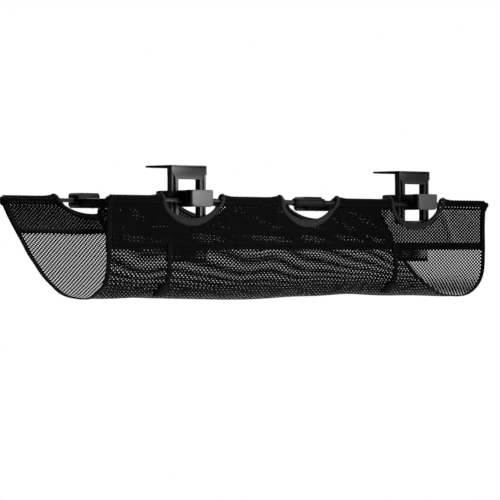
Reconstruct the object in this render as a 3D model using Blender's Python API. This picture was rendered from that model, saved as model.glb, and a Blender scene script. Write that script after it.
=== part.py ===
"""Under-desk cable tray: an open-ended mesh sling on two rods, hung from two screwless desk clamps.

Frame: X runs along the desk's edge, +Y goes back under the desktop and +Z is up. The origin is midway
between the clamps, on the desktop's edge (Y = 0) and on its underside (Z = 0). Lengths are in
millimetres and become metres when a mesh is made.
"""
import math

import bmesh
import bpy
from mathutils import Vector

MM = 0.001

# driving dimensions, mm
DESK = 25.0                # desktop held in the clamps
GAP = 0.3                  # clearance between touching pieces
BAG_LENGTH = 606.0
CLAMP_X = 178.5            # each clamp's distance from the middle
ROD_Y = -12.5              # front rod, ahead of the desk's edge
ROD_Z = -11.4
ROD_SPAN = 183.0           # front rod to rear rod
ROD_R = 2.5
ROD_BORE_R = 2.85
ROD_SIDES = 16
CAP_INSET = 3.8            # from the sheet's end to the rod's own
CAP_R = 3.4
COUPLER_HALF = 23.5
COUPLER_R = 4.7
REAR_Y = ROD_Y + ROD_SPAN
REAR_RISE = 2.5            # the rear rod is this much higher
REAR_Z = ROD_Z + REAR_RISE

# clamp frame
PLATE_HALF = 26.8          # top plate, half width
PLATE_T = 2.2
PLATE_Z = DESK + GAP
PLATE_FRONT = -8.8
PLATE_BACK = 36.5
POST_HALF = 25.75
POST_FRONT = -8.5
POST_BACK = -0.5
RIB_OUT = 19.9
PANEL_SIDE = 17.5          # where the panel's side turns into its hollow corner
FLANGE_OUT = 25.2
FLANGE_FRONT = -3.5        # the web behind a leg's groove
LIP_IN = 22.6              # the lip outside the groove
LIP_FRONT = -7.6
LIP_TOP = 17.6
WINDOW_HALF = 16.0
WINDOW_TOP = 12.3
LEG_BOTTOM = -35.0
CROSSBAR_T = 4.0
NOTCH_PITCH = 3.0
NOTCH_DEEP = 1.2
NOTCHES = 13

# jaw, the part that slides up and down in the frame's window
JAW_HALF = 15.7
JAW_BODY_HALF = 14.0       # behind the collar, between the legs
JAW_TOP = 0.3
JAW_BOTTOM = -18.3
JAW_SHOULDER = -24.7       # where the button's skirt stops
JAW_NECK = -26.2
SHELF_BACK = 33.0
SHELF_TOP = -0.6
SHELF_BOTTOM = -6.9
TONGUE_HALF = 9.6
TONGUE_TOP = -9.4
TONGUE_BOTTOM = -16.0
CAVITY_BACK = -0.9
CAVITY_HALF = 12.0

# release button and pawls
BUTTON_FRONT = -31.0
BUTTON_BACK = -28.0
BUTTON_WALL = 1.4
WEDGE_SLOPE = 0.5          # pawl travel for each mm of button travel

# arm and rear holder
ARM_HALF = 12.0
ARM_T = 1.8
ARM_TOP = -7.2
ARM_BOTTOM = -18.0
ARM_BACK = 163.0
HOLDER_HALF = 15.7
HOLDER_FRONT = 163.4
HOLDER_BACK = 182.0
SCREW_YS = (8.0, 20.0, 147.0, 157.0)

# sling
CLOTH_T = 1.2
TUNNEL_R = 3.9             # hem tunnel, to the middle of the cloth
LAYER_GAP = 1.6            # from one layer of the doubled hem to the other, middle to middle
FRONT_FACING = 46.0        # doubled hem below the front tunnel
REAR_FACING = 43.0         # and below the rear one
SEAM_TAPE = 8.5
PATCH_DEEP = 12.0
STRAP_TOP = 38.0           # a load strap's ends, below the front tunnel
STRAP_END = 85.0
TAB_RUN = 19.0             # its tab follows it, further down
CUT_HALF = 43.0            # half-moon cut-out, half width inside its tape
CUT_DEEP = 26.0
CUT_TOP = -4.5             # its widest line, above the rod's axis
TAPE_SIDE = 4.0            # tape width at the sides and at the bottom of a half-moon
TAPE_DEEP = 7.0
EDGE_TAPE = 6.0
CUT_XS = {"left": -CLAMP_X, "middle": 0.0, "right": CLAMP_X}

# sling section from the front rod's axis: (back, up), down the front, under and up to the rear rod
SLING_POINTS = [(-0.8, -8), (-1.4, -30), (-2.4, -55), (-1.8, -75), (3.5, -91), (14, -101.5),
                (28, -107), (45, -108.4), (65, -106), (87, -97.5), (108, -83), (131, -62.5),
                (149, -42), (166, -21)]


def clear_scene():
    for obj in list(bpy.data.objects):
        bpy.data.objects.remove(obj, do_unlink=True)


def finish(name, colour, roughness, metallic=0.0):
    mat = bpy.data.materials.new(name)
    mat.use_nodes = True
    shader = mat.node_tree.nodes["Principled BSDF"]
    shader.inputs["Base Color"].default_value = (*colour, 1.0)
    shader.inputs["Roughness"].default_value = roughness
    shader.inputs["Metallic"].default_value = metallic
    return mat


def empty(name, at, parent=None):
    """An axis marker at a point in mm, which moving pieces hang on."""
    obj = bpy.data.objects.new(name, None)
    bpy.context.collection.objects.link(obj)
    obj.location = Vector(at) * MM
    if parent:
        obj.parent = parent
        obj.location -= Vector(parent["place"]) * MM
    obj["place"] = at
    return obj


def body(name, bm, parent, mat=None, shift=(0, 0, 0)):
    """An object from a bmesh in mm, hung on a parent empty; shift moves it first."""
    bmesh.ops.recalc_face_normals(bm, faces=bm.faces)
    place = Vector(parent["place"])
    for v in bm.verts:
        v.co = (v.co + Vector(shift) - place) * MM
    mesh = bpy.data.meshes.new(name)
    bm.to_mesh(mesh)
    bm.free()
    obj = bpy.data.objects.new(name, mesh)
    bpy.context.collection.objects.link(obj)
    obj.parent = parent
    if mat:
        mesh.materials.append(mat)
    return obj


def loft(rings):
    """A closed body through rings of points, with a flat cap on each end."""
    bm = bmesh.new()
    made = [[bm.verts.new(p) for p in ring] for ring in rings]
    count = len(made[0])
    for low, high in zip(made, made[1:]):
        for i in range(count):
            j = (i + 1) % count
            bm.faces.new((low[i], low[j], high[j], high[i]))
    bm.faces.new(made[0])
    bm.faces.new(made[-1])
    return bm


def lift(point, axis, along):
    """A flat outline's point at a distance along the axis that it is drawn across."""
    a, b = point
    return {"X": (along, a, b), "Y": (a, along, b), "Z": (a, b, along)}[axis]


def prism(outline, axis, low, high):
    return loft([[lift(p, axis, w) for p in outline] for w in (low, high)])


def block(low, high):
    outline = [(low[0], low[1]), (high[0], low[1]), (high[0], high[1]), (low[0], high[1])]
    return prism(outline, "Z", low[2], high[2])


def mirrored(half):
    """A closed outline from its +X half, listed top to bottom."""
    return half + [(-x, y) for x, y in reversed(half)]


def circle(radius, sides, centre=(0.0, 0.0)):
    step = 2 * math.pi / sides
    return [(centre[0] + radius * math.cos(step * (i + 0.5)),
             centre[1] + radius * math.sin(step * (i + 0.5))) for i in range(sides)]


def rounded(low, high, radius, steps=3):
    """A rectangle with round corners."""
    centres = [(high[0] - radius, high[1] - radius), (low[0] + radius, high[1] - radius),
               (low[0] + radius, low[1] + radius), (high[0] - radius, low[1] + radius)]
    points = []
    for quarter, (cx, cy) in enumerate(centres):
        for k in range(steps + 1):
            angle = math.pi / 2 * (quarter + k / steps)
            points.append((cx + radius * math.cos(angle), cy + radius * math.sin(angle)))
    return points


def combine(obj, operand, how):
    """Cut an operand from a body, or join it on, by a Boolean that stays on the body."""
    step = obj.modifiers.new(operand.name, "BOOLEAN")
    step.operation = how
    step.solver = "EXACT"
    step.object = operand
    operand.hide_render = True
    operand.display_type = "WIRE"


def cut(obj, bm, shift=(0, 0, 0)):
    combine(obj, body("cut_" + obj.name, bm, obj.parent, shift=shift), "DIFFERENCE")


def join(obj, bm, shift=(0, 0, 0)):
    combine(obj, body("join_" + obj.name, bm, obj.parent, shift=shift), "UNION")


def smooth(obj, angle=35.0):
    obj.data.shade_smooth()
    obj.data.set_sharp_from_angle(angle=math.radians(angle))


# the sling's section

def curve_through(points, step):
    """Points about one step apart on a smooth curve through the given ones."""
    ends = [points[0], *points, points[-1]]
    out = [Vector(points[0])]
    for k in range(len(points) - 1):
        p0, p1, p2, p3 = (Vector(p) for p in ends[k:k + 4])
        parts = max(1, round((p2 - p1).length / step))
        for i in range(1, parts + 1):
            t = i / parts
            out.append(0.5 * (2 * p1 + (p2 - p0) * t + (2 * p0 - 5 * p1 + 4 * p2 - p3) * t * t
                              + (3 * p1 - p0 - 3 * p2 + p3) * t ** 3))
    return out


def rear_axes():
    """The rear rod's place, the way down the cloth from it, and the way out of the bag."""
    axis = Vector((ROD_SPAN, REAR_RISE))
    down = (Vector(SLING_POINTS[-1]) - axis).normalized()
    return axis, down, Vector((-down.y, down.x))


def outer_layer():
    """The cloth's outer layer, middle of its thickness, from the front rod round to the rear one."""
    axis, down, out = rear_axes()
    last = axis + 8 * down + LAYER_GAP / 2 * out
    return curve_through(SLING_POINTS[:-1] + [tuple(last + 18 * down), tuple(last)], 9.0)


def distances(line):
    run = [0.0]
    for a, b in zip(line, line[1:]):
        run.append(run[-1] + (b - a).length)
    return run


def inward(line, amount):
    """A line moved towards the inside of the bag."""
    out = []
    for i, p in enumerate(line):
        along = (line[min(i + 1, len(line) - 1)] - line[max(i - 1, 0)]).normalized()
        out.append(p + amount * Vector((-along.y, along.x)))
    return out


def stretch(line, start, end):
    """The part of a line between two distances along it."""
    run = distances(line)
    out = []
    for i in range(len(line) - 1):
        for at in ([start] if run[i] <= start < run[i + 1] else []):
            out.append(line[i].lerp(line[i + 1], (at - run[i]) / (run[i + 1] - run[i])))
        if start < run[i + 1] < end - 0.5:
            out.append(line[i + 1])
        if run[i] < end <= run[i + 1]:
            out.append(line[i].lerp(line[i + 1], (end - run[i]) / (run[i + 1] - run[i])))
    return out


def ribbon(line, low_x, high_x, thick):
    """A strip of cloth: a section line in (back, up) from the front rod, spread along X."""
    low, high = inward(line, -thick / 2), inward(line, thick / 2)
    rings = []
    for a, b in zip(low, high):
        rings.append([(low_x, ROD_Y + a.x, ROD_Z + a.y), (high_x, ROD_Y + a.x, ROD_Z + a.y),
                      (high_x, ROD_Y + b.x, ROD_Z + b.y), (low_x, ROD_Y + b.x, ROD_Z + b.y)])
    return loft(rings)


def round_rod(centre, right, up):
    """The hem tunnel: three quarters round a rod, from below right over the top to below left."""
    points = []
    for k in range(11):
        angle = math.radians(-45 + 270 * k / 10)
        points.append(centre + TUNNEL_R * (math.cos(angle) * right + math.sin(angle) * up))
    return points


def sling_line():
    """The whole sheet: front facing up, round the rod, down and under, round the rear rod and back."""
    outer = outer_layer()
    length = distances(outer)[-1]
    inner = inward(outer, LAYER_GAP)
    axis, down, out = rear_axes()
    return (list(reversed(stretch(inner, 0.0, FRONT_FACING)))
            + round_rod(Vector((0, 0)), Vector((1, 0)), Vector((0, 1)))
            + outer
            + round_rod(axis, out, -down)
            + list(reversed(stretch(inner, length - REAR_FACING, length))))


def half_moon(half, deep, start, steps=18):
    """The lower run of a half ellipse hung from CUT_TOP: (x, distance down), left to right."""
    first = math.asin((start - CUT_TOP) / deep)
    points = []
    for k in range(steps + 1):
        t = math.pi - first - (math.pi - 2 * first) * k / steps
        points.append((half * math.cos(t), CUT_TOP + deep * math.sin(t)))
    return points


def across(outline, x, rear, low, high):
    """A prism through the front or rear cloth: (x, distance down the cloth) from the rod's axis."""
    front_axes = (Vector((0, 0)), Vector((0, -1)), Vector((-1, 0)))
    axis, down, out = rear_axes() if rear else front_axes
    base = Vector((ROD_Y, ROD_Z)) + axis
    rings = []
    for w in (low, high):
        spots = [(px, base + s * down + w * out) for px, s in outline]
        rings.append([(x + px, spot.x, spot.y) for px, spot in spots])
    return loft(rings)


# clamps

def clamp_frame(side, x, axis, mat):
    """Top plate, front panel and two toothed legs in one piece."""
    scoop = POST_HALF - RIB_OUT
    hollow = [(POST_HALF - scoop * math.sin(t), PANEL_SIDE - scoop * (1 - math.cos(t)))
              for t in (0.0, 0.39, 0.79, 1.18, 1.57)]
    front = mirrored([(POST_HALF, 26.8)] + hollow + [(RIB_OUT, LEG_BOTTOM)])
    rear = mirrored([(POST_HALF - 0.3, 26.6), (POST_HALF - 0.3, 17.5), (FLANGE_OUT, 15.5),
                     (FLANGE_OUT, LEG_BOTTOM + 2.5), (FLANGE_OUT - 2.0, LEG_BOTTOM + 0.5)])
    shift = (x, 0, 0)
    obj = body(side + "_clamp_frame", prism(front, "Y", POST_FRONT, FLANGE_FRONT + 0.4), axis, mat,
               shift)
    join(obj, prism(rear, "Y", FLANGE_FRONT, POST_BACK), shift)
    plate = rounded((-PLATE_HALF, PLATE_FRONT), (PLATE_HALF, PLATE_BACK), 4.0)
    join(obj, prism(plate, "Z", PLATE_Z, PLATE_Z + PLATE_T), shift)
    cut(obj, block((-WINDOW_HALF, -12, LEG_BOTTOM + CROSSBAR_T), (WINDOW_HALF, 3, WINDOW_TOP)), shift)
    for way in (-1, 1):
        lip = [(way * LIP_IN, LEG_BOTTOM + 2.5), (way * FLANGE_OUT, LEG_BOTTOM + 2.5),
               (way * FLANGE_OUT, LIP_TOP), (way * LIP_IN, LIP_TOP - 1.5)]
        join(obj, prism(lip, "Y", LIP_FRONT, FLANGE_FRONT + 0.4), shift)
        cut(obj, prism(notch_comb(way), "Y", POST_FRONT + 1.2, POST_BACK - 1.2), shift)
    cut(obj, block((-22, 3, PLATE_Z - 2), (22, 32, PLATE_Z + 1.2)), shift)
    smooth(obj)
    return obj


def notch_comb(way):
    """Ratchet notches on a leg's inner face: a comb whose spine stands in the open window."""
    face, tip = WINDOW_HALF - 0.1, WINDOW_HALF + NOTCH_DEEP
    low = LEG_BOTTOM + CROSSBAR_T + 1.4
    points = [(face, low)]
    for k in range(NOTCHES):
        z = low + NOTCH_PITCH * k
        points += [(face, z + 0.3), (tip, z + 0.5), (tip, z + 1.3), (face, z + 2.3)]
    top = low + NOTCH_PITCH * NOTCHES
    points += [(face, top), (face - 1.0, top), (face - 1.0, low)]
    return [(way * px, z) for px, z in points]


def pad(name, x, half, front, back, low, high, parent, mat):
    outline = rounded((-half, front), (half, back), 2.0)
    obj = body(name, prism(outline, "Z", low, high), parent, mat, (x, 0, 0))
    smooth(obj)


def button_face(inset):
    """The button's outline, with small top corners and cut-off lower ones."""
    half, low, high = JAW_HALF - inset, JAW_BOTTOM + inset, JAW_TOP - inset
    return mirrored([(half - 1.0, high), (half, high - 1.0), (half, low + 3.0), (half - 3.0, low)])


def jaw(side, x, axis, mat):
    """The lower jaw: a box in front of the post, a shelf under the desk and a tongue for the arm."""
    shift = (x, 0, 0)
    box = block((-JAW_BODY_HALF, JAW_SHOULDER + 3, -17.8), (JAW_BODY_HALF, 0.2, 0))
    obj = body(side + "_jaw", box, axis, mat, shift)
    collar = rounded((-JAW_HALF, JAW_BOTTOM), (JAW_HALF, JAW_TOP), 1.5, 2)
    join(obj, prism(collar, "Y", JAW_SHOULDER, JAW_SHOULDER + 4.5), shift)
    neck = button_face(BUTTON_WALL + GAP + 0.1)
    join(obj, prism(neck, "Y", JAW_NECK, JAW_SHOULDER + 1), shift)
    shelf = rounded((-JAW_BODY_HALF, -0.4), (JAW_BODY_HALF, SHELF_BACK), 3.0)
    join(obj, prism(shelf, "Z", SHELF_BOTTOM, SHELF_TOP), shift)
    join(obj, block((-TONGUE_HALF, -0.6, TONGUE_BOTTOM), (TONGUE_HALF, 27, TONGUE_TOP)), shift)
    cut(obj, block((-CAVITY_HALF, -30, -7.3), (CAVITY_HALF, CAVITY_BACK, -1.9)), shift)
    cut(obj, block((-16, -7.7, -11.6), (16, CAVITY_BACK, -7.2)), shift)
    cut(obj, prism(circle(ROD_BORE_R, ROD_SIDES, (ROD_Y, ROD_Z)), "X", -16, 16), shift)
    cut(obj, block((-12, 3, SHELF_TOP - 1.4), (12, 31, 2)), shift)
    for y in SCREW_YS[:2]:
        cut(obj, prism(circle(1.85, 12, (0, y)), "Z", -20, -3.0), shift)
    smooth(obj)


def button(side, x, axis, mat):
    """The grey release button: a hollow cap with two wedge prongs that reach the pawls."""
    shift = (x, 0, 0)
    rings = [[(px, y, pz) for px, pz in button_face(inset)]
             for inset, y in ((0.8, BUTTON_FRONT), (0.0, BUTTON_FRONT + 0.7), (0.0, BUTTON_BACK))]
    obj = body(side + "_release_button", loft(rings), axis, mat, shift)
    inner = [[(px, y, pz) for px, pz in button_face(BUTTON_WALL)]
             for y in (BUTTON_FRONT + 1.5, BUTTON_BACK + 1)]
    cut(obj, loft(inner), shift)
    for way in (-1, 1):
        near, far = 5.35, 10.2
        prong = [(near, BUTTON_FRONT + 0.9), (far, BUTTON_FRONT + 0.9), (far, -4.2),
                 (near + WEDGE_SLOPE * 3.1, -4.2), (near, -7.3)]
        join(obj, prism([(way * px, y) for px, y in prong], "Z", -6.9, -2.3), shift)
    smooth(obj)


def pawl(side, place, x, way, axis, mat):
    """A toothed pawl: its lug has the slope that the button's prong pushes."""
    shift = (x, 0, 0)
    bar = [(4.0, -11.2), (14.5, -11.2), (15.7, -10.4), (14.8, -9.4), (15.7, -8.6), (14.7, -7.6),
           (4.0, -7.6)]
    obj = body(f"{side}_pawl_{place}", prism([(way * px, z) for px, z in bar], "Y", -7.3, -1.3),
               axis, mat, shift)
    lug = [(3.5, -7.1), (5.1, -7.1), (5.1 + WEDGE_SLOPE * 5.6, -1.5), (3.5, -1.5)]
    join(obj, prism([(way * px, y) for px, y in lug], "Z", -8.2, -2.3), shift)


def pawl_spring(side, x, axis, mat):
    """A small coil between the pawls, which drives both out and the button forward."""
    coil, wire, turns, around = 1.6, 0.3, 4.0, 12
    steps = int(turns * around)
    rings = []
    for k in range(steps + 1):
        angle = 2 * math.pi * k / around
        centre = Vector((-2.9 + 5.8 * k / steps, -4.3 + coil * math.cos(angle),
                         -4.9 + coil * math.sin(angle)))
        radial = Vector((0, math.cos(angle), math.sin(angle)))
        rings.append([tuple(centre + wire * (math.cos(a) * radial + math.sin(a) * Vector((1, 0, 0))))
                      for a in (0.4, 1.97, 3.54, 5.11)])
    smooth(body(side + "_pawl_spring", loft(rings), axis, mat, (x, 0, 0)))


def arm(side, x, axis, mat):
    """A channel, open below, from the jaw back to the rear rod's holder."""
    half = [(ARM_HALF, ARM_TOP), (ARM_HALF, ARM_BOTTOM), (ARM_HALF - ARM_T, ARM_BOTTOM),
            (ARM_HALF - ARM_T, ARM_TOP - ARM_T)]
    obj = body(side + "_arm", prism(mirrored(half), "Y", 0.6, ARM_BACK), axis, mat, (x, 0, 0))
    for y in SCREW_YS:
        cut(obj, prism(circle(1.85, 12, (0, y)), "Z", -12, -5), (x, 0, 0))


def arm_screws(side, x, axis, mat):
    """Four like screws, driven up through the tongues into the shelf and the arm."""
    for number, y in enumerate(SCREW_YS, 1):
        top = -3.4 if y < SHELF_BACK else ARM_TOP + 0.2
        levels = [(2.3, -18.2), (2.8, -17.6), (2.8, -16.3), (1.5, -16.3), (1.5, top)]
        rings = [[(px, py, z) for px, py in circle(r, 12, (0, y))] for r, z in levels]
        smooth(body(f"{side}_arm_screw_{number}", loft(rings), axis, mat, (x, 0, 0)))


def rear_holder(side, x, axis, mat):
    """The block at the arm's end that the rear rod slides through."""
    outline = mirrored([(HOLDER_HALF - 2.0, -0.4), (HOLDER_HALF, -2.9), (HOLDER_HALF, -14.6),
                        (HOLDER_HALF - 2.6, -17.6)])
    shift = (x, 0, 0)
    obj = body(side + "_rear_holder", prism(outline, "Y", HOLDER_FRONT, HOLDER_BACK), axis, mat,
               shift)
    join(obj, block((-TONGUE_HALF, 141, TONGUE_BOTTOM), (TONGUE_HALF, HOLDER_FRONT + 1, TONGUE_TOP)),
         shift)
    cut(obj, prism(circle(ROD_BORE_R, ROD_SIDES, (REAR_Y, REAR_Z)), "X", -16, 16), shift)
    for y in SCREW_YS[2:]:
        cut(obj, prism(circle(1.85, 12, (0, y)), "Z", -20, -8), shift)


def clamp(side, x, tray, mats):
    """One whole clamp; its empties sit on the joints' axes."""
    carriage = empty(side + "_carriage_axis", (x, ROD_Y, ROD_Z), tray)
    rise = empty(side + "_frame_axis", (x, POST_BACK - 4.0, 0.0), carriage)
    press = empty(side + "_button_axis", (x, BUTTON_FRONT, -9.0), carriage)
    clamp_frame(side, x, rise, mats["frame"])
    pad(side + "_upper_pad", x, 21.7, 3.3, 31.7, DESK, PLATE_Z + 0.9, rise, mats["rubber"])
    jaw(side, x, carriage, mats["jaw"])
    pad(side + "_lower_pad", x, 11.7, 3.3, 30.7, SHELF_TOP - 1.1, 0.0, carriage, mats["rubber"])
    button(side, x, press, mats["grey"])
    for place, way in (("inner", -1 if x > 0 else 1), ("outer", 1 if x > 0 else -1)):
        slide = empty(f"{side}_pawl_{place}_axis", (x + way * 9.0, -4.3, -9.4), carriage)
        pawl(side, place, x, way, slide, mats["steel"])
    pawl_spring(side, x, carriage, mats["steel"])
    arm(side, x, carriage, mats["arm"])
    arm_screws(side, x, carriage, mats["steel"])
    rear_holder(side, x, carriage, mats["jaw"])


# rods

def turned(name, levels, line, sides, parent, mat):
    """A solid turned about a rod's line, from (x, radius) pairs."""
    rings = [[(px, *p) for p in circle(r, sides, line)] for px, r in levels]
    obj = body(name, loft(rings), parent, mat)
    smooth(obj)
    return obj


def rod_line(place, line, tray, mats):
    """A rod in two halves, the sleeve that couples them, and a cap on each end."""
    end = BAG_LENGTH / 2 - CAP_INSET
    for side, way in (("left", -1), ("right", 1)):
        levels = sorted([(way * GAP, ROD_R), (way * end, ROD_R)])
        turned(f"{place}_rod_{side}", levels, line, ROD_SIDES, tray, mats["rod"])
        cap = [(way * (end - 2.0), CAP_R), (way * (end + 1.0), CAP_R), (way * (end + 2.0), 2.5)]
        obj = turned(f"{place}_cap_{side}", cap, line, ROD_SIDES, tray, mats["jaw"])
        bore = circle(ROD_BORE_R, ROD_SIDES, line)
        cut(obj, prism(bore, "X", way * (end - 4), way * (end + 0.4)))
    grip = [(COUPLER_HALF - 4.5, COUPLER_R - 0.3), (COUPLER_HALF - 4.0, COUPLER_R),
            (COUPLER_HALF - 0.7, COUPLER_R), (COUPLER_HALF, COUPLER_R - 0.7)]
    sleeve = [(-px, r) for px, r in reversed(grip)] + grip
    obj = turned(place + "_coupler", sleeve, line, ROD_SIDES, tray, mats["jaw"])
    cut(obj, prism(circle(ROD_BORE_R, ROD_SIDES, line), "X", -26, 26))


# cloth

def sling(tray, mat):
    half = BAG_LENGTH / 2 - EDGE_TAPE - GAP
    obj = body("mesh_sling", ribbon(sling_line(), -half, half, CLOTH_T), tray, mat)
    for x in CUT_XS.values():
        for rear in (False, True):
            wide, deep = CUT_HALF + TAPE_SIDE + GAP, CUT_DEEP + TAPE_DEEP + GAP
            outline = half_moon(wide, deep, 0.0)
            cut(obj, across([(-wide, -9.0)] + outline + [(wide, -9.0)], x, rear, -9.0, 9.0))
    smooth(obj)


def cutout_tapes(tray, mat):
    """The binding round each half-moon, as thick as the doubled hem that it folds over."""
    start = TUNNEL_R + 1.4
    for place, x in CUT_XS.items():
        for row, rear in (("front", False), ("rear", True)):
            outside = half_moon(CUT_HALF + TAPE_SIDE, CUT_DEEP + TAPE_DEEP, start)
            inside = half_moon(CUT_HALF, CUT_DEEP, start)
            outline = outside + list(reversed(inside))
            obj = body(f"{row}_cutout_tape_{place}", across(outline, x, rear, -1.8, 1.8), tray, mat)
            smooth(obj)


def edge_tapes(tray, mat):
    line = stretch(inward(outer_layer(), 0.5), 1.0, distances(outer_layer())[-1] - 1.0)
    for side, way in (("left", -1), ("right", 1)):
        ends = sorted((way * (BAG_LENGTH / 2 - EDGE_TAPE), way * BAG_LENGTH / 2))
        smooth(body(side + "_edge_tape", ribbon(line, *ends, 3.0), tray, mat))


def seam_tapes(tray, mat):
    """The flat tape inside the bag that closes each doubled hem."""
    line = inward(outer_layer(), LAYER_GAP + CLOTH_T / 2 + GAP + 0.4)
    length = distances(line)[-1]
    half = BAG_LENGTH / 2 - EDGE_TAPE - 1.0
    for row, start in (("front", FRONT_FACING - SEAM_TAPE), ("rear", length - REAR_FACING)):
        strip = stretch(line, start, start + SEAM_TAPE)
        smooth(body(row + "_seam_tape", ribbon(strip, -half, half, 0.8), tray, mat))


def patches(tray, mat):
    """A doubled patch inside the cloth under each front half-moon, below the seam tape."""
    line = inward(outer_layer(), CLOTH_T / 2 + GAP + 0.4)
    for side, x in (("left", -CLAMP_X), ("right", CLAMP_X)):
        strip = stretch(line, FRONT_FACING + 1.0, FRONT_FACING + 1.0 + PATCH_DEEP)
        smooth(body(side + "_patch", ribbon(strip, x - 36.0, x + 22.0, 0.8), tray, mat))


def straps(tray, mat):
    """Narrow webbing outside the cloth, from the hem down under the bag, with a stitched end tab."""
    line = inward(outer_layer(), -(CLOTH_T / 2 + GAP + 0.4))
    for side, x in (("left", -CLAMP_X - 34.0), ("right", CLAMP_X - 40.0)):
        webbing = stretch(line, STRAP_TOP, STRAP_END)
        smooth(body(side + "_load_strap", ribbon(webbing, x - 3.2, x + 3.2, 0.8), tray, mat))
        doubled = stretch(line, STRAP_END + GAP, STRAP_END + TAB_RUN)
        smooth(body(side + "_strap_tab", ribbon(doubled, x - 9.5, x + 5.5, 1.0), tray, mat))


def main():
    clear_scene()
    mats = {
        "frame": finish("satin_black_frame", (0.045, 0.045, 0.048), 0.42),
        "jaw": finish("moulded_black", (0.02, 0.02, 0.021), 0.45),
        "grey": finish("grey_button", (0.22, 0.22, 0.22), 0.35),
        "rubber": finish("black_rubber", (0.012, 0.012, 0.012), 0.8),
        "steel": finish("zinc_steel", (0.5, 0.5, 0.5), 0.35, 1.0),
        "rod": finish("black_steel_rod", (0.05, 0.05, 0.052), 0.3, 0.6),
        "arm": finish("black_arm", (0.02, 0.02, 0.021), 0.5),
        "mesh": finish("black_mesh", (0.012, 0.012, 0.013), 0.8),
        "tape": finish("charcoal_tape", (0.06, 0.06, 0.062), 0.6),
    }
    tray = empty("tray_frame", (0.0, 0.0, 0.0))
    sling(tray, mats["mesh"])
    cutout_tapes(tray, mats["tape"])
    edge_tapes(tray, mats["mesh"])
    seam_tapes(tray, mats["mesh"])
    patches(tray, mats["mesh"])
    straps(tray, mats["mesh"])
    rod_line("front", (ROD_Y, ROD_Z), tray, mats)
    rod_line("rear", (REAR_Y, REAR_Z), tray, mats)
    clamp("left", -CLAMP_X, tray, mats)
    clamp("right", CLAMP_X, tray, mats)


main()
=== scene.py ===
# %% [markdown]
# # An under-desk cable tray
#
# A cable tray like this is a hammock for power strips. One sheet of black knitted mesh hangs between two
# steel rods, and two moulded clamps hold the rods under the edge of a desktop without screws. The packed
# CAD model holds every rigid piece at its real size and place, and plain solids where the cloth goes. This
# file keeps those places and makes the looks: an open knit, stitched edges, rounded plastic and the light.

# %% Load the frame
import math

import bmesh
import bpy
import numpy as np
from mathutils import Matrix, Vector


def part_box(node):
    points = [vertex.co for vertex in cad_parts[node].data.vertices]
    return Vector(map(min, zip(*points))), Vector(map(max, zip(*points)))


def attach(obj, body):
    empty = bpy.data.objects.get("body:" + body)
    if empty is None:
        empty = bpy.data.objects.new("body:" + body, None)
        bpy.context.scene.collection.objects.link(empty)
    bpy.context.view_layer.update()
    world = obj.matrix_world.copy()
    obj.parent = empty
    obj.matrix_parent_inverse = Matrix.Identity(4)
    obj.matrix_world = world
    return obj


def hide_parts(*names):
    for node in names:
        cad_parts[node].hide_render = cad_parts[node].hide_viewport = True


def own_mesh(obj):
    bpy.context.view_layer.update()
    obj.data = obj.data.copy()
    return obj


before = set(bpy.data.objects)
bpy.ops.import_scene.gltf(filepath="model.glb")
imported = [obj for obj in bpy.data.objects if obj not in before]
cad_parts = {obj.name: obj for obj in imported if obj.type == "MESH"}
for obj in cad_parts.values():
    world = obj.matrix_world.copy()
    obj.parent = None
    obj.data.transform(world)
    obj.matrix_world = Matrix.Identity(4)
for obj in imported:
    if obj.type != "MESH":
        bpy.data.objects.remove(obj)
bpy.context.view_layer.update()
MM = 0.001
print("CAD nodes:", len(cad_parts))

# %% [markdown]
# ## Sizes from the frame
#
# The pieces made here have to meet the CAD pieces, so their places are read from the CAD nodes' boxes. Only
# sizes that a box can't tell, such as the cloth's curve or the knit's spacing, are given in millimetres.

# %% Sizes from the frame
def extent(node):
    """A CAD node's lowest and highest corners in millimetres."""
    low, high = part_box(node)
    return np.array(low) / MM, np.array(high) / MM


def middle(node):
    """The middle of a CAD node's box."""
    return sum(extent(node)) / 2


def half_height(node):
    """Half the height of a CAD node's box: the radius of a round piece that lies flat."""
    low, high = extent(node)
    return (high[2] - low[2]) / 2


ROD_Y, ROD_Z = middle("front_rod_left")[1:]
REAR_Y, REAR_Z = middle("rear_rod_left")[1:]
ROD_SPAN = REAR_Y - ROD_Y
ROD_R = half_height("front_rod_left")
HALF = extent("right_edge_tape")[1][0]
CLAMPS = {"left": middle("left_clamp_frame")[0], "right": middle("right_clamp_frame")[0]}
print("rods", round(ROD_SPAN, 1), "mm apart; cloth", round(2 * HALF, 1), "mm long; clamps at", CLAMPS)

# %% [markdown]
# ## Small helpers
#
# Colours are given as sRGB hex values, while shaders work in linear light, so one function turns
# one into the other. A second adds a shader node, sets it up and wires it, which keeps materials short.

# %% Colour, node and mesh helpers
def linear(hex_colour):
    """An sRGB hex colour as the linear colour that shaders work in."""
    parts = [int(hex_colour[i:i + 2], 16) / 255 for i in (1, 3, 5)]
    return [c / 12.92 if c <= 0.04045 else ((c + 0.055) / 1.055) ** 2.4 for c in parts] + [1.0]


def add(tree, kind, values=None, links=None):
    """A shader node: lower-case values are its settings, others its sockets; links feed its sockets."""
    made = tree.nodes.new("ShaderNode" + kind)
    for key, value in (values or {}).items():
        if isinstance(key, str) and key[0].islower():
            setattr(made, key, value)
        else:
            made.inputs[key].default_value = value
    for key, output in (links or {}).items():
        tree.links.new(output, made.inputs[key])
    return made


def new_material(name, colour, roughness, metallic=0.0):
    """A Principled material, with its node tree and shader to build on."""
    material = bpy.data.materials.new(name)
    material.use_nodes = True
    shader = material.node_tree.nodes["Principled BSDF"]
    shader.inputs["Base Color"].default_value = linear(colour)
    shader.inputs["Roughness"].default_value = roughness
    shader.inputs["Metallic"].default_value = metallic
    return material, material.node_tree, shader


def in_scene(name, data):
    """An object that shows a mesh, lamp or camera."""
    made = bpy.data.objects.new(name, data)
    bpy.context.collection.objects.link(made)
    return made


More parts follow.
